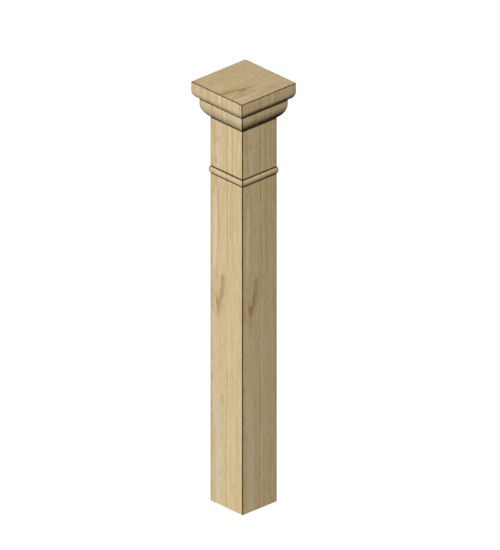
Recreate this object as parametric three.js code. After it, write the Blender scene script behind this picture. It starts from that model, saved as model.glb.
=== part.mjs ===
// A square box newel post for a staircase. Four mitred boards stand round a hollow. A rounded bead
// runs round the neck, an ovolo moulding sits under the cap, and a thick square cap board with a
// rounded lower edge closes the top. Every piece round the shaft is mitred at the corners.
// Millimetres, +Z up. The origin is the middle of the foot, and the front looks towards -Y.

import * as THREE from "three";

// Driving dimensions of the whole post
const POST_HEIGHT = 1389;
const SHAFT_WIDTH = 139.7;
const BOARD_THICKNESS = 19;
const JOINT_GAP = 0.3;

// Cap board: an upright edge above a round that ends on the flat underside
const CAP_WIDTH = 221;
const CAP_THICKNESS = 54.5;
const CAP_ROUND_RADIUS = 27;
const CAP_REVEAL = 2;

// Ovolo moulding under the cap: an upright fillet above a convex arc
const OVOLO_HEIGHT = 60;
const OVOLO_PROJECTION = 23.2;
const OVOLO_RADIUS = 56.5;
const OVOLO_LIP = 1.5;

// Neck bead, and the plain stretch of shaft between it and the moulding
const BEAD_HEIGHT = 23;
const BEAD_PROJECTION = 3.8;
const HEAD_LENGTH = 163;

// Fineness of the round stretches, and of the boards along their length
const CAP_ROUND_STEPS = 20;
const OVOLO_STEPS = 24;
const BEAD_STEPS = 16;
const BOARD_BANDS = 4;

// Heights and half widths that follow from them
const capUnderside = POST_HEIGHT - CAP_THICKNESS;
const ovoloTop = capUnderside - JOINT_GAP;
const ovoloBottom = capUnderside - OVOLO_HEIGHT;
const beadTop = ovoloBottom - HEAD_LENGTH;
const shaftHalf = SHAFT_WIDTH / 2;
const hollowHalf = shaftHalf - BOARD_THICKNESS;
const stripBack = shaftHalf + JOINT_GAP;
const mitreSetback = JOINT_GAP / Math.SQRT2;

// The four sides, each turned a quarter turn from the one before it
const SIDES = ["front", "right", "back", "left"];

const wood = (color) => new THREE.MeshStandardMaterial({ color, roughness: 0.55, metalness: 0 });
const shaftWood = wood(0xcdb98c);
const mouldingWood = wood(0xcab78f);
const capWood = wood(0xc4b086);

// Shaft board: a trapezium in plan, mitred at both long edges, square at both ends. It is
// divided along its length, so that the stretch that takes a handrail ends below the bead.
function shaftBoardGeometry() {
  const outer = shaftHalf - mitreSetback;
  const inner = hollowHalf - mitreSetback;
  const plan = new THREE.Shape();
  plan.moveTo(-outer, -shaftHalf);
  plan.lineTo(outer, -shaftHalf);
  plan.lineTo(inner, -hollowHalf);
  plan.lineTo(-inner, -hollowHalf);
  plan.closePath();
  const depth = capUnderside - JOINT_GAP;
  return new THREE.ExtrudeGeometry(plan, { depth, steps: BOARD_BANDS, bevelEnabled: false });
}

// A strip that runs across the front with mitred ends. Its section is drawn with x as the distance
// out from the post's axis and y as the height, and each end runs out as far as its own distance.
function mitredStrip(section, curveSegments) {
  const options = { depth: 1, bevelEnabled: false, curveSegments };
  const geometry = new THREE.ExtrudeGeometry(section, options);
  const position = geometry.attributes.position;
  for (let i = 0; i < position.count; i += 1) {
    const outward = position.getX(i);
    const height = position.getY(i);
    const end = position.getZ(i) > 0.5 ? -1 : 1;
    position.setXYZ(i, end * (outward - mitreSetback), -outward, height);
  }
  geometry.computeVertexNormals();
  return geometry;
}

// Ovolo section: the fillet drops from the cap, then the arc curls in to a thin lip at the shaft
function ovoloGeometry() {
  const face = shaftHalf + OVOLO_PROJECTION;
  const centre = face - OVOLO_RADIUS;
  const lip = shaftHalf + OVOLO_LIP;
  const sweep = Math.acos((lip - centre) / OVOLO_RADIUS);
  const arcStart = ovoloBottom + OVOLO_RADIUS * Math.sin(sweep);
  const section = new THREE.Shape();
  section.moveTo(stripBack, ovoloTop);
  section.lineTo(face, ovoloTop);
  section.lineTo(face, arcStart);
  section.absarc(centre, arcStart, OVOLO_RADIUS, 0, -sweep, true);
  section.lineTo(stripBack, ovoloBottom);
  section.closePath();
  return mitredStrip(section, OVOLO_STEPS);
}

// Bead section: a segment of a circle, as high as the bead and standing out by its projection
function beadGeometry() {
  const half = BEAD_HEIGHT / 2;
  const rise = BEAD_PROJECTION - JOINT_GAP;
  const radius = (half * half + rise * rise) / (2 * rise);
  const sweep = Math.asin(half / radius);
  const centre = stripBack + rise - radius;
  const section = new THREE.Shape();
  section.absarc(centre, beadTop - half, radius, -sweep, sweep, false);
  section.closePath();
  return mitredStrip(section, BEAD_STEPS);
}

// Cap board: its edge profile turned into a square, as a lathe turning with four flats
function capBoardGeometry() {
  const half = CAP_WIDTH / 2;
  const undersideHalf = shaftHalf + OVOLO_PROJECTION + CAP_REVEAL;
  const centre = half - CAP_ROUND_RADIUS;
  const sweep = Math.acos((undersideHalf - centre) / CAP_ROUND_RADIUS);
  const roundTop = capUnderside + CAP_ROUND_RADIUS * Math.sin(sweep);
  const profile = [new THREE.Vector2(0, capUnderside)];
  for (let i = 0; i <= CAP_ROUND_STEPS; i += 1) {
    const angle = -sweep * (1 - i / CAP_ROUND_STEPS);
    const out = centre + CAP_ROUND_RADIUS * Math.cos(angle);
    profile.push(new THREE.Vector2(out * Math.SQRT2, roundTop + CAP_ROUND_RADIUS * Math.sin(angle)));
  }
  profile.push(new THREE.Vector2(half * Math.SQRT2, POST_HEIGHT));
  profile.push(new THREE.Vector2(0, POST_HEIGHT));
  const geometry = new THREE.LatheGeometry(profile, SIDES.length, Math.PI / 4);
  geometry.rotateX(Math.PI / 2);
  return geometry;
}

function addPiece(group, name, geometry, material) {
  const piece = new THREE.Mesh(geometry, material);
  piece.name = name;
  group.add(piece);
}

const post = new THREE.Group();
SIDES.forEach((side, index) => {
  const turned = new THREE.Group();
  turned.rotation.z = (index * Math.PI) / 2;
  addPiece(turned, `shaft_board_${side}`, shaftBoardGeometry(), shaftWood);
  addPiece(turned, `neck_bead_${side}`, beadGeometry(), mouldingWood);
  addPiece(turned, `cap_moulding_${side}`, ovoloGeometry(), mouldingWood);
  post.add(turned);
});
addPiece(post, "cap_board", capBoardGeometry(), capWood);

export default post;
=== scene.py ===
from math import acos, asin, cos, pi, radians, sin
from typing import NamedTuple

import bpy
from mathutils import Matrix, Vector


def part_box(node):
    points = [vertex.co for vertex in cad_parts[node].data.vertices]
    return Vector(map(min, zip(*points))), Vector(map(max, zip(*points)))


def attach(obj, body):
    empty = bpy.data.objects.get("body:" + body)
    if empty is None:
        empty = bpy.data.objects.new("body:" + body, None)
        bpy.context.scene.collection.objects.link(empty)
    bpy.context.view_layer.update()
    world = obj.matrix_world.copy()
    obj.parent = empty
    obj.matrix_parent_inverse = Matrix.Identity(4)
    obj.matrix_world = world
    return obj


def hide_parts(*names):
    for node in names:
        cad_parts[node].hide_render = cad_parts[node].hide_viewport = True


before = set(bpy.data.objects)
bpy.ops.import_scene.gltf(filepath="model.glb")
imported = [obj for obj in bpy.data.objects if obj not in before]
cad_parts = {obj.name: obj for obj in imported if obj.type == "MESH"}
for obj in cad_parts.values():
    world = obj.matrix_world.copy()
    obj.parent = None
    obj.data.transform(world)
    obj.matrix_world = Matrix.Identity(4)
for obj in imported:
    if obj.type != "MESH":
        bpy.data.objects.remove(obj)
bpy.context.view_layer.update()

MM = 0.001
SIDES = ["front", "right", "back", "left"]

# Sizes read from the frame
board_low, board_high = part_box("shaft_board_front")
bead_low, bead_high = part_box("neck_bead_front")
ovolo_low, ovolo_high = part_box("cap_moulding_front")
cap_low, cap_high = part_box("cap_board")
SHAFT_HALF = -board_low.y
HOLLOW_HALF = -board_high.y
BEAD_FACE, BEAD_BACK = -bead_low.y, -bead_high.y
OVOLO_FACE = -ovolo_low.y
CAP_HALF = cap_high.x

# Profile sizes that the frame's boxes don't hold
OVOLO_RADIUS = 56.5 * MM
OVOLO_LIP = 1.5 * MM
CAP_ROUND_RADIUS = 27 * MM
CAP_REVEAL = 2 * MM
ARRIS = 1.2 * MM
FINE_ARRIS = 0.7 * MM
GLUE_LINE = 0.1 * MM
FLOOR_GAP = 0.5 * MM

# How many steps each round is made of
MITRE_STEPS = 4
BEAD_STEPS = 24
MOULDING_STEPS = 40
CAP_ROUND_STEPS = 32
CAP_ARRIS_STEPS = 6
CAP_CORNER_STEPS = 8

# An edge sharper than this is drawn as an edge
SHARP_ANGLE = radians(30)

# The photograph's view: parallel, with these angles, and the post's axis and foot at these pixels
VIEW_AZIMUTH = 46.9
VIEW_ELEVATION = 26.1
PHOTO_WIDTH_PX, PHOTO_HEIGHT_PX = 500, 550
AXIS_PX = 243.65
FOOT_PX = 500.9
MM_PER_PX = 2.9787
CAMERA_DISTANCE = 4


def basis(azimuth, elevation):
    """Right, up and backward directions of a camera at these angles."""
    a, e = radians(azimuth), radians(elevation)
    right = Vector((cos(a), sin(a), 0))
    back = Vector((sin(a) * cos(e), -cos(a) * cos(e), sin(e)))
    return right, back.cross(right), back


def add_camera():
    right, up, back = basis(VIEW_AZIMUTH, VIEW_ELEVATION)
    pixel = MM_PER_PX * MM
    across = (PHOTO_WIDTH_PX / 2 - AXIS_PX) * pixel
    above_foot = (FOOT_PX - PHOTO_HEIGHT_PX / 2) * pixel
    data = bpy.data.cameras.new("camera")
    data.type = "ORTHO"
    data.ortho_scale = PHOTO_HEIGHT_PX * pixel
    camera = bpy.data.objects.new("camera", data)
    camera.location = right * across + up * above_foot + back * CAMERA_DISTANCE
    camera.rotation_euler = back.to_track_quat("Z", "Y").to_euler()
    bpy.context.scene.collection.objects.link(camera)
    bpy.context.scene.camera = camera


# Meshes


def arc(centre_out, centre_z, radius, start, end, steps):
    """Points (outward, height) on an arc from angle start to end, 0 pointing out and pi/2 up."""
    angles = [start + (end - start) * i / steps for i in range(steps + 1)]
    return [(centre_out + radius * cos(a), centre_z + radius * sin(a)) for a in angles]


def new_piece(name, vertices, faces, slot_of_face=None):
    """A mesh object whose rounds are shaded smooth and whose sharper turns stay edges."""
    mesh = bpy.data.meshes.new(name)
    mesh.from_pydata(vertices, [], faces)
    mesh.validate()
    mesh.polygons.foreach_set("use_smooth", [True] * len(mesh.polygons))
    if slot_of_face:
        mesh.polygons.foreach_set("material_index", slot_of_face)
    mesh.set_sharp_from_angle(angle=SHARP_ANGLE)
    mesh.update()
    piece = bpy.data.objects.new(name, mesh)
    bpy.context.scene.collection.objects.link(piece)
    return piece


def quarter_turned(point, turns):
    x, y, z = point
    for _ in range(turns):
        x, y = -y, x
    return (x, y, z)


def corner_stations():
    """Stations along a side that is rounded into both mitres: (end, angle round the corner)."""
    angles = [pi / 4 * i / MITRE_STEPS for i in range(MITRE_STEPS + 1)]
    return [(-1, a) for a in reversed(angles)] + [(1, a) for a in angles]


def mitred_side(name, outer, back, turns, arris):
    """One side's board or strip. outer is its shown profile from the bottom up, back its hidden one
    from the top down, both as (outward, height). The corners are eased round both mitres at once."""
    stations = corner_stations()
    tip = OVOLO_FACE - arris + arris * sin(pi / 4)
    vertices = []
    for end, angle in stations:
        retreat = arris * (1 - cos(angle))
        advance = arris * sin(angle)
        setback = GLUE_LINE if angle == pi / 4 else 0
        for out, height in outer:
            x = end * (out - arris + advance - setback)
            vertices.append(quarter_turned((x, -(out - retreat), height), turns))
        share = (OVOLO_FACE - arris + advance) / tip
        for out, height in back:
            x = end * (out - GLUE_LINE) * share
            vertices.append(quarter_turned((x, -out, height), turns))
    loop = len(outer) + len(back)
    faces = [list(range(loop))[::-1]]
    for i in range(len(stations) - 1):
        for j in range(loop):
            k = (j + 1) % loop
            a, b = i * loop, (i + 1) * loop
            faces.append([a + j, a + k, b + k, b + j])
    last = (len(stations) - 1) * loop
    faces.append([last + j for j in range(loop)])
    return new_piece(name, vertices, [f[::-1] for f in faces])


def shaft_board(side, turns):
    top = board_high.z
    ease = FINE_ARRIS
    outer = [(SHAFT_HALF - ease, 0), (SHAFT_HALF, ease), (SHAFT_HALF, top)]
    back = [(HOLLOW_HALF, top), (HOLLOW_HALF, 0)]
    return mitred_side(f"{side}_shaft_board", outer, back, turns, ARRIS)


def neck_bead(side, turns):
    half = (bead_high.z - bead_low.z) / 2
    rise = BEAD_FACE - BEAD_BACK
    radius = (half * half + rise * rise) / (2 * rise)
    sweep = asin(half / radius)
    outer = arc(BEAD_FACE - radius, bead_low.z + half, radius, -sweep, sweep, BEAD_STEPS)
    back = [(SHAFT_HALF, bead_high.z), (SHAFT_HALF, bead_low.z)]
    return mitred_side(f"{side}_neck_bead", outer, back, turns, FINE_ARRIS)


def cap_moulding(side, turns):
    centre = OVOLO_FACE - OVOLO_RADIUS
    lip = SHAFT_HALF + OVOLO_LIP
    sweep = acos((lip - centre) / OVOLO_RADIUS)
    arc_start = ovolo_low.z + OVOLO_RADIUS * sin(sweep)
    outer = arc(centre, arc_start, OVOLO_RADIUS, -sweep, 0, MOULDING_STEPS)
    outer.append((OVOLO_FACE, ovolo_high.z))
    back = [(SHAFT_HALF, ovolo_high.z), (SHAFT_HALF, ovolo_low.z)]
    return mitred_side(f"{side}_cap_moulding", outer, back, turns, FINE_ARRIS)


def cap_slab():
    """The cap board as square rings with eased corners, from the underside up to the top. Its
    sides take the material slots 0 to 3, and its flat top and underside the slot after them."""
    underside_half = OVOLO_FACE + CAP_REVEAL
    centre = CAP_HALF - CAP_ROUND_RADIUS
    sweep = acos((underside_half - centre) / CAP_ROUND_RADIUS)
    round_top = cap_low.z + CAP_ROUND_RADIUS * sin(sweep)
    profile = arc(centre, round_top, CAP_ROUND_RADIUS, -sweep, 0, CAP_ROUND_STEPS)
    profile += arc(CAP_HALF - ARRIS, cap_high.z - ARRIS, ARRIS, 0, pi / 2, CAP_ARRIS_STEPS)
    vertices = []
    for out, height in profile:
        for turns in range(4):
            for i in range(CAP_CORNER_STEPS + 1):
                angle = -pi / 4 + (pi / 2) * (i / CAP_CORNER_STEPS - 0.5)
                x = out - ARRIS + ARRIS * cos(angle)
                y = -(out - ARRIS) + ARRIS * sin(angle)
                vertices.append(quarter_turned((x, y, height), turns))
    ring = 4 * (CAP_CORNER_STEPS + 1)
    faces = [list(range(ring))[::-1]]
    flat_slot = len(SIDES)
    slots = [flat_slot]
    for i in range(len(profile) - 1):
        for j in range(ring):
            k = (j + 1) % ring
            a, b = i * ring, (i + 1) * ring
            faces.append([a + j, a + k, b + k, b + j])
            corner, step = divmod(j, CAP_CORNER_STEPS + 1)
            side = corner if step < CAP_CORNER_STEPS / 2 else (corner + 1) % 4
            slots.append(side)
    top = (len(profile) - 1) * ring
    faces.append([top + j for j in range(ring)])
    slots.append(flat_slot)
    return new_piece("cap_slab", vertices, faces, slots)


# Materials

# Values between which nearly all of a noise lies, and its middle
NOISE_LOW, NOISE_MIDDLE, NOISE_HIGH = 0.25, 0.5, 0.75


class Graph:
    """A node tree, with short calls that each add one node and return its output."""

    def __init__(self, tree):
        self.nodes = tree.nodes
        self.links = tree.links

    def add(self, kind, inputs, output=0, **settings):
        """An input that is a socket is linked, and any other is set."""
        node = self.nodes.new(kind)
        for key, value in settings.items():
            setattr(node, key, value)
        for key, value in inputs.items():
            if isinstance(value, bpy.types.NodeSocket):
                self.links.new(value, node.inputs[key])
            else:
                node.inputs[key].default_value = value
        return node.outputs[output]

    def math(self, operation, a, b=0.0):
        return self.add("ShaderNodeMath", {0: a, 1: b}, operation=operation)

    def vector(self, operation, a, b, output=0):
        return self.add("ShaderNodeVectorMath", {0: a, 1: b}, output, operation=operation)

    def xyz(self, x, y, z):
        return self.add("ShaderNodeCombineXYZ", {0: x, 1: y, 2: z})

    def noise(self, point, scales, detail=3.0, roughness=0.5):
        scaled = self.vector("MULTIPLY", point, scales)
        inputs = {"Vector": scaled, "Scale": 1.0, "Detail": detail, "Roughness": roughness}
        return self.add("ShaderNodeTexNoise", inputs)

    def fade(self, value, low, high, at_low=0.0, at_high=1.0):
        """A smooth step between two results, as a value goes from low to high."""
        inputs = {0: value, 1: low, 2: high, 3: at_low, 4: at_high}
        return self.add("ShaderNodeMapRange", inputs, interpolation_type="SMOOTHSTEP")

    def mix(self, factor, a, b):
        return self.add("ShaderNodeMix", {0: factor, 6: a, 7: b}, 2, data_type="RGBA")

    def swing(self, colour, noise, strength, dark, light):
        """Moves a colour towards dark where a noise is high and towards light where it is low."""
        high = self.fade(noise, NOISE_MIDDLE, NOISE_HIGH, 0.0, strength)
        low = self.fade(noise, NOISE_LOW, NOISE_MIDDLE, strength, 0.0)
        return self.mix(low, self.mix(high, colour, dark), light)


# How brightly the front face is lit: a tone is given as it shows there, and its albedo follows
FRONT_LIGHT = 1.22


def tone(red, green, blue):
    """Albedo of a surface that shows as this sRGB colour on the front face."""
    linear = []
    for channel in (red, green, blue):
        c = channel / 255
        linear.append(((c + 0.055) / 1.055) ** 2.4 / FRONT_LIGHT)
    return (*linear, 1.0)


# Poplar tones: the two halves of a board, then paler, cooler, warmer and darker ones, then the dark
# colour of joints and of painted shade
ROSE = tone(210, 188, 147)
STRAW = tone(211, 190, 143)
PALE = tone(222, 209, 171)
LIGHT = tone(221, 204, 162)
FROST = tone(213, 198, 164)
MAUVE = tone(212, 190, 157)
BLUSH = tone(218, 192, 153)
GREY = tone(193, 172, 132)
OLIVE = tone(199, 178, 127)
LINE = tone(190, 166, 120)
RUST = tone(190, 158, 110)
ARM = tone(177, 151, 105)
TIP = tone(159, 132, 91)
# The dark colour of glue joints, also used for painted shadow and painted shade
GLUE_AND_SHADE = tone(40, 31, 20)

# Dark lines at corners, at joints and on arrises, painted shadow at the joints under the cap and
# under its moulding, and painted shade in the quirks above those: how wide they are fully dark, and
# where they end
CORNER_LINE = (2.3 * MM, 3.3 * MM)
JOINT_LINE = (2.0 * MM, 3.4 * MM)
# A dark joint line widened into painted shadow, under the cap and under its moulding
PAINTED_SHADOW_JOINT = (3.8 * MM, 5.8 * MM)
# Painted shade on the under-curves of the cap and its moulding, darkest at their quirks
CAP_QUIRK_SHADE = (3.2 * MM, 9.0 * MM)
MOULDING_QUIRK_SHADE = (4.5 * MM, 13.5 * MM)
ARRIS_LINE = (1.5 * MM, 2.4 * MM)

# How much of the dark colour of joints and painted shade those lines take
CORNER_STRENGTH = 0.95
CAP_CORNER_STRENGTH = 0.8
LINE_STRENGTH = 0.85


class Stroke(NamedTuple):
    """A soft stroke of colour. Millimetres from a side's middle line and from the floor; the half
    widths are those at its start and end, and the fades the shares of its length that fade in at
    its start and out at its end."""
    start: tuple
    end: tuple
    widths: tuple
    softness: float
    paint: tuple
    strength: float
    fades: tuple = (0.25, 0.25)


# Where each piece's noise is taken from, by what it is and by its side, so that no two pieces
# share it, and how far from there that of its patches lies
BOARD_GRAIN = 0
TOP_GRAIN = 3
BEAD_GRAIN = 5
MOULDING_GRAIN = 9
CAP_GRAIN = 12
SIDE_GRAIN = 0.13
NOISE_SHIFT = (1.7, 0.9, 2.3)
PATCH_SHIFT = (3.1, 0.0, 0.7)

# How often each layer of the wood varies per metre: across, outward and along the grain
SWAY_SCALES = (7, 7, 4.0)
CLOUD_SCALES = (30, 30, 5.0)
PATCH_SCALES = (60, 60, 14.0)
GROWTH_SCALES = (130, 130, 2.4)
FLECK_SCALES = (240, 240, 42.0)
FIBRE_SCALES = (800, 800, 18.0)

# How far each layer moves the colour from its middle
CLOUD_SWING = 0.45
PATCH_SWING = 0.4
GROWTH_SWING = 0.5
FLECK_SWING = 0.62
FIBRE_SWING = 0.35

# How far the grain sways sideways, the flecks fray a stroke, and the two halves of a board meet
SWAY_REACH = 9 * MM
FRAY_REACH = 7 * MM
ROSE_EDGE = -22 * MM
STRAW_EDGE = 10 * MM

# The finish: where fibres count as low and high, how rough it is there, and how deep they stand
FIBRE_LOW, FIBRE_HIGH = 0.3, 0.75
SMOOTH, ROUGH = 0.64, 0.78
GLOSS = 0.15
RELIEF_STRENGTH = 0.2
RELIEF_DEPTH = 0.25 * MM
FIBRE_SHARE = 0.6

# Long upright lines
LONG_LINES = [
    Stroke((6, -160), (7, 380), (1.2, 1.5), 4, LIGHT, 0.95),
    Stroke((8.5, 330), (8, 760), (2.0, 1.0), 2.4, LIGHT, 0.95),
    Stroke((11, 690), (11, 1600), (1.5, 2.5), 4, LIGHT, 0.5),
    Stroke((2, 520), (-2, 150), (1.6, 1.0), 3, LINE, 0.8),
    Stroke((-2, 260), (1, -160), (0.8, 0.8), 3, LINE, 0.85),
    Stroke((8.5, 780), (3, 1000), (1.2, 1.6), 3, LINE, 0.9),
    Stroke((4, 940), (2, 1340), (1.4, 1.0), 3, RUST, 0.85),
    Stroke((45, 530), (42, 370), (1.2, 1.4), 3.5, OLIVE, 0.75),
    Stroke((44, 400), (43, -160), (0.6, 0.6), 4, LINE, 0.4),
    Stroke((-54, 340), (-54, -160), (0.5, 0.5), 4, LINE, 0.4),
    Stroke((17, 880), (16, 1070), (0.8, 0.8), 3, LINE, 0.7),
    Stroke((28, 760), (24, 1500), (1.0, 1.8), 3, LINE, 0.8, (0.1, 0.1)),
    Stroke((49, 860), (45, 1500), (1.0, 1.6), 3, RUST, 0.45, (0.1, 0.1)),
    Stroke((54, 870), (52, 1340), (0.8, 1.4), 3, LIGHT, 0.6),
    Stroke((62, 950), (60, 1200), (3.0, 3.0), 5, OLIVE, 0.6),
    Stroke((57, 760), (57, 610), (0.6, 1.5), 4, LINE, 0.45),
    Stroke((36, 640), (36, 120), (0.8, 0.8), 3.5, LIGHT, 0.55, (0.2, 0.2)),
    Stroke((36, 900), (36, 1090), (0.6, 0.6), 3, LINE, 0.5),
    Stroke((32, 780), (32, 1080), (0.8, 0.8), 3, LIGHT, 0.5),
]

# Broad patches of another tone
PATCHES = [
    Stroke((-51, 740), (-44, 1050), (4.0, 5.0), 5, PALE, 0.85, (0.3, 0.2)),
    Stroke((-56, 1010), (-56, 1100), (5.0, 5.0), 5, OLIVE, 0.35),
    Stroke((-32, 920), (-32, 1330), (9.0, 12.0), 7, MAUVE, 0.65, (0.25, 0.15)),
    Stroke((-40, 1320), (-36, 1200), (7.0, 5.0), 5, FROST, 0.7),
    Stroke((-39, 1215), (-37, 1105), (6.0, 5.0), 5, PALE, 0.45),
    Stroke((-62, 1140), (-62, 1210), (4.0, 4.0), 4, BLUSH, 0.7),
    Stroke((13, 1040), (13, 1340), (2.0, 3.0), 4, LIGHT, 0.4),
    Stroke((30, 350), (30, 520), (14.0, 14.0), 8, OLIVE, 0.12, (0.4, 0.4)),
    Stroke((50, 550), (50, 670), (11.0, 11.0), 7, MAUVE, 0.5, (0.4, 0.4)),
    Stroke((-52, 680), (-41, 440), (3.0, 3.0), 5, BLUSH, 0.7, (0.4, 0.4)),
    Stroke((-60, 400), (-60, 645), (7.0, 7.0), 7, PALE, 0.18, (0.4, 0.05)),
    Stroke((-70, 520), (-34, 360), (7.0, 8.0), 6, MAUVE, 0.75, (0.35, 0.35)),
    Stroke((-51, 425), (-40, 190), (6.0, 10.0), 7, FROST, 0.8, (0.2, 0.5)),
    Stroke((-36, 380), (-35, -160), (11.0, 6.0), 7, FROST, 0.9, (0.3, 0.1)),
    Stroke((-28, 410), (-24, 270), (5.0, 5.0), 5, MAUVE, 0.8, (0.4, 0.4)),
    Stroke((-63, 350), (-63, 120), (4.0, 4.0), 5, GREY, 0.4, (0.4, 0.4)),
    Stroke((-62, 740), (-62, 634), (6.0, 6.0), 4, GREY, 0.75, (0.5, 0.06)),
]

# Short dark marks
MARKS = [
    Stroke((-32, 820), (-34, 975), (1.0, 1.5), 3, GREY, 0.85),
    Stroke((-34, 920), (-37, 1070), (2.0, 3.0), 3.5, GREY, 0.95),
    Stroke((-38, 1040), (-46, 1098), (2.0, 2.0), 4, GREY, 0.7),
    Stroke((-20, 382), (-18, 326), (3.0, 3.0), 4, GREY, 0.95, (0.4, 0.4)),
    Stroke((-55, 1268), (-54, 1226), (3.5, 3.5), 3, LINE, 0.95, (0.4, 0.4)),
    Stroke((-56, 1240), (-53, 1172), (2.5, 2.5), 3, LINE, 0.85, (0.3, 0.4)),
    Stroke((-46, 1160), (-46, 1118), (2.5, 2.5), 3, LINE, 0.8, (0.4, 0.4)),
    Stroke((-36, 1234), (-38, 1194), (3.0, 3.0), 4, GREY, 0.7, (0.4, 0.4)),
    Stroke((-57, 500), (-57, 462), (2.0, 2.0), 3, LINE, 0.7, (0.4, 0.4)),
    Stroke((-65, 450), (-64, 385), (2.5, 2.5), 3, LINE, 0.6, (0.4, 0.4)),
]

# Marks on the cap moulding and on the cap's sides, as far out as those are wide
CAP_MARKS = [
    Stroke((0, 1336), (0, 1450), (112, 112), 8, GREY, 0.28, (0.05, 0.1)),
    Stroke((-38, 1265), (-38, 1480), (4.5, 4.5), 6, RUST, 0.65, (0.1, 0.2)),
    Stroke((11, 1300), (11, 1430), (2.5, 2.5), 3, LIGHT, 0.5, (0.1, 0.1)),
    Stroke((3, 1290), (3, 1430), (1.2, 1.2), 3, LINE, 0.6, (0.1, 0.1)),
    Stroke((-74, 1260), (-73, 1450), (4.0, 5.0), 4, OLIVE, 0.4, (0.1, 0.1)),
    Stroke((-64, 1345), (-64, 1430), (3.0, 3.0), 3, LINE, 0.6),
    Stroke((-97, 1325), (-97, 1450), (2.5, 2.5), 4, LINE, 0.5),
    Stroke((42, 1325), (42, 1450), (3.0, 3.0), 4, OLIVE, 0.45),
    Stroke((55, 1325), (55, 1450), (5.0, 5.0), 5, MAUVE, 0.4),
    Stroke((86, 1250), (86, 1450), (7.0, 7.0), 6, BLUSH, 0.4),
    Stroke((101, 1320), (101, 1410), (3.0, 3.0), 3, RUST, 0.6, (0.2, 0.3)),
]

# The fork round a knot: a dark wedge, its wide and its narrow arm, and a tail below
FORK = [
    Stroke((-14, 760), (-24, 622), (9.0, 3.0), 8, OLIVE, 0.8, (0.4, 0.4)),
    Stroke((-31, 664), (-18, 722), (3.0, 7.0), 5, ARM, 0.85, (0.15, 0.1)),
    Stroke((-19, 704), (-15, 782), (6.5, 7.5), 5, ARM, 0.75, (0.2, 0.35)),
    Stroke((-28, 676), (-20, 738), (1.0, 2.0), 3, TIP, 0.7, (0.2, 0.5)),
    Stroke((-19, 684), (-11, 744), (2.5, 2.5), 4, ARM, 0.7, (0.4, 0.4)),
    Stroke((-16, 732), (-14, 772), (3.0, 3.0), 4, TIP, 0.5, (0.4, 0.4)),
    Stroke((-36, 686), (-35.5, 625), (8.0, 2.5), 4.5, TIP, 0.95, (0.1, 0.6)),
    Stroke((-42, 672), (-48, 712), (3.0, 1.5), 3.5, ARM, 0.75, (0.15, 0.6)),
    Stroke((-37, 668), (-35, 588), (4.5, 3.5), 5, RUST, 0.7, (0.25, 0.6)),
]

# Marks that only the cap's top has
TOP_MARKS = [
    Stroke((-63, 780), (-62, 630), (4.0, 4.0), 5, GREY, 0.6, (0.1, 0.4)),
    Stroke((-78, 780), (-76, 620), (4.0, 6.0), 6, FROST, 0.7),
    Stroke((-76, 620), (-74, 550), (3.0, 3.0), 6, GREY, 0.7),
    Stroke((-96, 700), (-92, 540), (4.0, 5.0), 6, GREY, 0.4),
    Stroke((57, 770), (57, 630), (1.0, 2.0), 4, OLIVE, 0.7),
    Stroke((78, 780), (84, 540), (10.0, 14.0), 10, MAUVE, 0.6),
    Stroke((99, 660), (98, 590), (3.0, 3.0), 4, LINE, 0.7),
    Stroke((105, 750), (100, 480), (3.0, 3.0), 6, FROST, 0.6),
]

# The height on a side whose figure lies at the middle of the cap's top
TOP_FIGURE_HEIGHT = 629 * MM


STROKE_INPUTS = {
    "Colour": "NodeSocketColor", "Paint": "NodeSocketColor", "Strength": "NodeSocketFloat",
    "Place": "NodeSocketVector", "Fray": "NodeSocketFloat", "Start": "NodeSocketVector",
    "Along": "NodeSocketVector", "Aside": "NodeSocketVector", "Length": "NodeSocketFloat",
    "Start width": "NodeSocketFloat", "End width": "NodeSocketFloat",
    "Softness": "NodeSocketFloat", "Rise": "NodeSocketFloat", "Fall": "NodeSocketFloat",
}

# How far a stroke's place moves with the tone beneath it, so that strokes follow one another
TONE_NUDGE = 0.5 * MM


def stroke_group():
    """The node group that paints one stroke over a colour, with frayed sides and pointed ends.

    As its place moves with the tone beneath, each stroke waits for the one below it. The renderer
    then holds the values of one stroke at a time, which keeps its shader stack small."""
    tree = bpy.data.node_groups.new("stroke", "ShaderNodeTree")
    for name, kind in STROKE_INPUTS.items():
        tree.interface.new_socket(name=name, in_out="INPUT", socket_type=kind)
    tree.interface.new_socket(name="Colour", in_out="OUTPUT", socket_type="NodeSocketColor")
    g = Graph(tree)
    given = g.nodes.new("NodeGroupInput").outputs
    length = given["Length"]
    nudge = {0: given["Colour"], 1: (TONE_NUDGE, 0, 0), 2: given["Place"]}
    place = g.add("ShaderNodeVectorMath", nudge, operation="MULTIPLY_ADD")
    local = g.vector("SUBTRACT", place, given["Start"])
    forward = g.vector("DOT_PRODUCT", local, given["Along"], "Value")
    off_line = g.math("ABSOLUTE", g.vector("DOT_PRODUCT", local, given["Aside"], "Value"))
    rise = g.fade(forward, 0.0, given["Rise"])
    fall = g.fade(forward, g.math("SUBTRACT", length, given["Fall"]), length, 1.0, 0.0)
    ends = g.math("MULTIPLY", rise, fall)
    taper = {0: forward, 1: 0.0, 2: length, 3: given["Start width"], 4: given["End width"]}
    half_width = g.math("MULTIPLY", g.add("ShaderNodeMapRange", taper), ends)
    beyond = g.math("SUBTRACT", g.math("ADD", off_line, given["Fray"]), half_width)
    body = g.fade(beyond, 0.0, given["Softness"], 1.0, 0.0)
    mask = g.math("MULTIPLY", g.math("MULTIPLY", body, ends), given["Strength"])
    colour = g.mix(mask, given["Colour"], given["Paint"])
    g.links.new(colour, g.nodes.new("NodeGroupOutput").inputs["Colour"])
    return tree


STROKE_GROUP = stroke_group()


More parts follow.
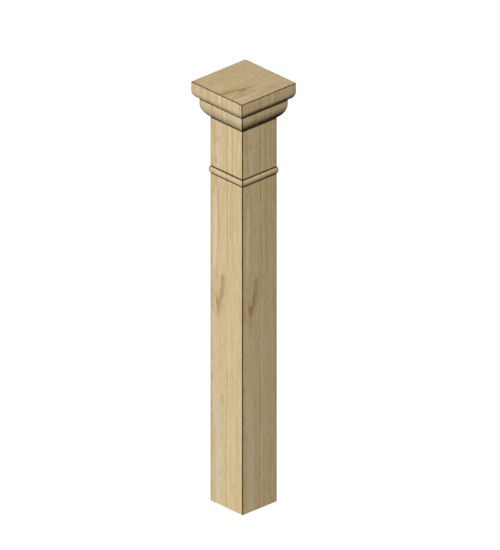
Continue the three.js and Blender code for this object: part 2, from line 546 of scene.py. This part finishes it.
def paint_stroke(g, colour, place, fray, stroke):
    start = Vector((stroke.start[0], 0, stroke.start[1])) * MM
    end = Vector((stroke.end[0], 0, stroke.end[1])) * MM
    length = (end - start).length
    along = (end - start) / length
    inputs = {
        "Colour": colour, "Paint": stroke.paint, "Strength": stroke.strength,
        "Place": place, "Fray": fray, "Start": start,
        "Along": along, "Aside": (along.z, 0, -along.x), "Length": length,
        "Start width": stroke.widths[0] * MM, "End width": stroke.widths[1] * MM,
        "Softness": stroke.softness * MM,
        "Rise": stroke.fades[0] * length, "Fall": stroke.fades[1] * length,
    }
    return g.add("ShaderNodeGroup", inputs, node_tree=STROKE_GROUP)


def board_point(g, across, outward, up, origin):
    """The surface point in the board's own directions, in metres from the board's origin."""
    place = g.add("ShaderNodeTexCoord", {}, "Object")
    axes = [Vector(across), Vector(outward), Vector(up)]
    parts = [g.vector("DOT_PRODUCT", place, axis, "Value") for axis in axes]
    return [g.math("ADD", part, shift) for part, shift in zip(parts, origin)]


def side_lines(corner_strength, joints, quirk_shade=None):
    """Dark lines of a side: at its two corners and at its joints' heights, and painted shade above
    its quirk.
    """
    def lines(g, x, y, z):
        to_corner = g.math("SUBTRACT", y, g.math("ABSOLUTE", x))
        found = [(to_corner, CORNER_LINE, corner_strength)]
        for height, width in joints:
            off = g.math("ABSOLUTE", g.math("SUBTRACT", z, height))
            found.append((off, width, LINE_STRENGTH))
        # Painted shade on the under-curve, fully dark near the quirk and fading upward
        if quirk_shade:
            height, width = quirk_shade
            found.append((g.math("SUBTRACT", z, height), width, LINE_STRENGTH))
        return found
    return lines


def top_lines(middle):
    """Dark lines along the four arrises of the cap's top."""
    def lines(g, x, y, z):
        found = []
        for place in (x, g.math("SUBTRACT", z, middle)):
            to_edge = g.math("SUBTRACT", CAP_HALF, g.math("ABSOLUTE", place))
            found.append((to_edge, ARRIS_LINE, LINE_STRENGTH))
        return found
    return lines


def wood(name, across, outward, up, origin, seed, strokes, lines_of):
    """Pale clear-finished poplar with its grain along up. lines_of gives the joints and arrises that
    show as thin dark lines, and the bands of painted shadow and painted shade under the cap and its
    moulding."""
    material = bpy.data.materials.new(name)
    material.use_nodes = True
    g = Graph(material.node_tree)
    shader = g.nodes["Principled BSDF"].inputs
    x, y, z = board_point(g, across, outward, up, origin)
    sown = g.vector("ADD", g.xyz(x, y, z), [seed * shift for shift in NOISE_SHIFT])
    sway = g.noise(sown, SWAY_SCALES, detail=2.0)
    drift = g.math("MULTIPLY", g.math("SUBTRACT", sway, NOISE_MIDDLE), SWAY_REACH)
    bent_x = g.math("ADD", x, drift)
    bent = g.vector("ADD", sown, g.xyz(drift, 0.0, 0.0))

    # The two halves of the board, with clouds of cooler and warmer tone
    colour = g.mix(g.fade(bent_x, ROSE_EDGE, STRAW_EDGE), ROSE, STRAW)
    colour = g.swing(colour, g.noise(bent, CLOUD_SCALES), CLOUD_SWING, MAUVE, OLIVE)
    patch = g.noise(g.vector("ADD", bent, PATCH_SHIFT), PATCH_SCALES)
    colour = g.swing(colour, patch, PATCH_SWING, GREY, PALE)

    # Lines of the yearly growth, flecks of fibre and, seen from near, single fibres
    growth = g.noise(bent, GROWTH_SCALES, roughness=0.6)
    colour = g.swing(colour, growth, GROWTH_SWING, LINE, LIGHT)
    flecks = g.noise(bent, FLECK_SCALES, detail=2.0, roughness=0.6)
    fibres = g.noise(bent, FIBRE_SCALES, roughness=0.65)

    place = g.xyz(bent_x, 0.0, z)
    fray = g.math("MULTIPLY", g.math("SUBTRACT", flecks, NOISE_MIDDLE), FRAY_REACH)
    for stroke in strokes:
        colour = paint_stroke(g, colour, place, fray, stroke)
    colour = g.swing(colour, flecks, FLECK_SWING, LINE, LIGHT)
    colour = g.swing(colour, fibres, FIBRE_SWING, LINE, LIGHT)
    # Dark joint and arris lines, and the bands of painted shadow and painted shade
    for distance, (dark, ends), strength in lines_of(g, x, y, z):
        colour = g.mix(g.fade(distance, dark, ends, strength, 0.0), colour, GLUE_AND_SHADE)

    g.links.new(colour, shader["Base Color"])
    g.links.new(g.fade(fibres, FIBRE_LOW, FIBRE_HIGH, SMOOTH, ROUGH), shader["Roughness"])
    from_fibres = g.math("MULTIPLY", fibres, FIBRE_SHARE)
    relief = g.math("ADD", from_fibres, g.math("MULTIPLY", flecks, 1 - FIBRE_SHARE))
    bump = {"Strength": RELIEF_STRENGTH, "Distance": RELIEF_DEPTH, "Height": relief}
    g.links.new(g.add("ShaderNodeBump", bump), shader["Normal"])
    shader["Specular IOR Level"].default_value = GLOSS
    return material


def side_axes(turns):
    """Across, outward and up for a side, the front turned this many quarter turns."""
    across = quarter_turned((1, 0, 0), turns)
    outward = quarter_turned((0, -1, 0), turns)
    return across, outward, (0, 0, 1)


def strokes_between(strokes, low, high):
    """The strokes that reach the stretch between two heights, in metres."""
    return [s for s in strokes if min(s.start[1], s.end[1]) * MM < high
            and max(s.start[1], s.end[1]) * MM > low]


def turned_over(stroke):
    """The stroke as it lies on a board with its left and right changed over."""
    (start_x, start_z), (end_x, end_z) = stroke.start, stroke.end
    return stroke._replace(start=(-start_x, start_z), end=(-end_x, end_z))


def figure_of(side):
    """The two sides that show in the photograph carry the whole figure, and the others its long
    lines and patches, turned over."""
    if side in ("front", "right"):
        return LONG_LINES + PATCHES + MARKS + CAP_MARKS + FORK
    return [turned_over(stroke) for stroke in LONG_LINES + PATCHES]


# The pieces, dressed


def dress(piece, node, slot, *materials):
    for material in materials:
        piece.data.materials.append(material)
    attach(piece, "root")
    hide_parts(node)


def side_wood(turns, name, box, grain, corner_strength, joints, quirk_shade=None):
    """The wood of one side's piece, whose lowest and highest points are its box."""
    side = SIDES[turns]
    low, high = box
    floor_middle = (0, 0, 0)
    seed = turns // 2 + SIDE_GRAIN * turns + grain
    strokes = strokes_between(figure_of(side), low.z, high.z)
    lines = side_lines(corner_strength, joints, quirk_shade)
    return wood(f"{side}_{name}", *side_axes(turns), floor_middle, seed, strokes, lines)


def dress_board(side, turns):
    # At the moulding's foot the shaft's dark joint line is widened into painted shadow
    joints = [(bead_low.z, JOINT_LINE), (bead_high.z, JOINT_LINE), (ovolo_low.z, PAINTED_SHADOW_JOINT)]
    box = (board_low, board_high)
    material = side_wood(turns, "shaft_wood", box, BOARD_GRAIN, CORNER_STRENGTH, joints)
    dress(shaft_board(side, turns), f"shaft_board_{side}", "shaft_wood", material)


def dress_bead(side, turns):
    joints = [(bead_low.z, JOINT_LINE), (bead_high.z, JOINT_LINE)]
    box = (bead_low, bead_high)
    material = side_wood(turns, "bead_wood", box, BEAD_GRAIN, CORNER_STRENGTH, joints)
    dress(neck_bead(side, turns), f"neck_bead_{side}", "moulding_wood", material)


def dress_moulding(side, turns):
    # At the cap's underside the dark joint line is widened into painted shadow
    joints = [(ovolo_high.z, PAINTED_SHADOW_JOINT)]
    # Painted shade on the moulding's under-curve, above its quirk
    quirk_shade = (ovolo_low.z, MOULDING_QUIRK_SHADE)
    box = (ovolo_low, ovolo_high)
    material = side_wood(turns, "moulding_wood", box, MOULDING_GRAIN, CORNER_STRENGTH, joints, quirk_shade)
    dress(cap_moulding(side, turns), f"cap_moulding_{side}", "moulding_wood", material)


def cap_edge_wood(turns):
    joints = [(cap_high.z, JOINT_LINE)]
    # Painted shade on the cap's lower round, above its quirk
    quirk_shade = (cap_low.z, CAP_QUIRK_SHADE)
    box = (cap_low, cap_high)
    return side_wood(turns, "cap_edge", box, CAP_GRAIN, CAP_CORNER_STRENGTH, joints, quirk_shade)


def cap_top_wood():
    """The wood of the cap's flat top, whose grain runs from front to back."""
    axes = ((-1, 0, 0), (0, 0, 1), (0, -1, 0))
    middle = TOP_FIGURE_HEIGHT
    strokes = LONG_LINES + PATCHES + MARKS + FORK + TOP_MARKS
    strokes = strokes_between(strokes, middle - CAP_HALF, middle + CAP_HALF)
    return wood("cap_top_wood", *axes, (0, 0, middle), TOP_GRAIN, strokes, top_lines(middle))


def build_post():
    edge_materials = []
    for turns, side in enumerate(SIDES):
        dress_board(side, turns)
        dress_bead(side, turns)
        dress_moulding(side, turns)
        edge_materials.append(cap_edge_wood(turns))
    top_material = cap_top_wood()
    dress(cap_slab(), "cap_board", "cap_wood", *edge_materials, top_material)


# Floor and light

FLOOR_REACH = 12
WALL_FOOT_RADIUS = 3
WALL_HEIGHT = 12
SKIN_FOOT = -6
FLOOR_SECTORS = 64
SWEEP_STEPS = 16
FLOOR_TONE = 0.1
FLOOR_GLOW = 0.935
STUDIO_FILL = 0.015


class Sun(NamedTuple):
    """Its light on faces towards +X, -Y and +Z, as shares of full white, with its size in degrees."""
    right: float
    front: float
    top: float
    size: float
    colour: tuple


# A warm key from above on the camera's side, a cool card low on the left, and a card behind for
# the back and left sides
SUNS = {
    "key": Sun(0.633, 0.845, 0.955, 6, (1.0, 0.965, 0.927)),
    "low_card": Sun(-0.29, 0.385, -0.27, 6, (0.86, 0.885, 0.97)),
    "rear_card": Sun(-0.85, -0.68, -0.07, 8, (1.0, 0.98, 0.95)),
}


def add_floor():
    """A plain pale floor that curves up into a wall all round, far behind the post. A second skin
    comes down outside the wall, for a low camera whose lowest rows start beneath the floor."""
    radius = WALL_FOOT_RADIUS
    profile = arc(FLOOR_REACH - radius, radius, radius, -pi / 2, 0, SWEEP_STEPS)
    profile += [(FLOOR_REACH, WALL_HEIGHT), (FLOOR_REACH + 1, SKIN_FOOT)]
    vertices = []
    for out, height in profile:
        for i in range(FLOOR_SECTORS):
            angle = 2 * pi * i / FLOOR_SECTORS
            vertices.append((out * cos(angle), out * sin(angle), height - FLOOR_GAP))
    faces = [list(range(FLOOR_SECTORS))]
    for ring in range(len(profile) - 1):
        first = ring * FLOOR_SECTORS
        for i in range(FLOOR_SECTORS):
            a, b = first + i, first + (i + 1) % FLOOR_SECTORS
            faces.append([a, b, b + FLOOR_SECTORS, a + FLOOR_SECTORS])
    floor = new_piece("floor", vertices, faces)
    white = bpy.data.materials.new("floor_white")
    white.use_nodes = True
    shader = white.node_tree.nodes["Principled BSDF"].inputs
    shader["Base Color"].default_value = (FLOOR_TONE, FLOOR_TONE, FLOOR_TONE, 1)
    shader["Roughness"].default_value = 1.0
    shader["Specular IOR Level"].default_value = 0.0
    shader["Emission Color"].default_value = (1, 1, 1, 1)
    shader["Emission Strength"].default_value = FLOOR_GLOW
    floor.data.materials.append(white)
    floor.visible_diffuse = False
    floor.visible_glossy = False
    floor.visible_shadow = False


def add_sun(name, sun):
    """A sun that reaches every face turned to it, as the light in the photograph does."""
    towards = Vector((sun.right, -sun.front, sun.top))
    data = bpy.data.lights.new(name, "SUN")
    data.energy = pi * towards.length
    data.angle = radians(sun.size)
    data.color = sun.colour
    data.use_shadow = False
    lamp = bpy.data.objects.new(name, data)
    lamp.rotation_euler = towards.to_track_quat("Z", "Y").to_euler()
    bpy.context.scene.collection.objects.link(lamp)


def add_lights():
    for name, sun in SUNS.items():
        add_sun(name, sun)
    world = bpy.data.worlds.new("studio")
    world.use_nodes = True
    background = world.node_tree.nodes["Background"].inputs
    background["Color"].default_value = (STUDIO_FILL, STUDIO_FILL, STUDIO_FILL, 1)
    bpy.context.scene.world = world
    bpy.context.scene.view_settings.view_transform = "Standard"


add_camera()
build_post()
add_floor()
add_lights()
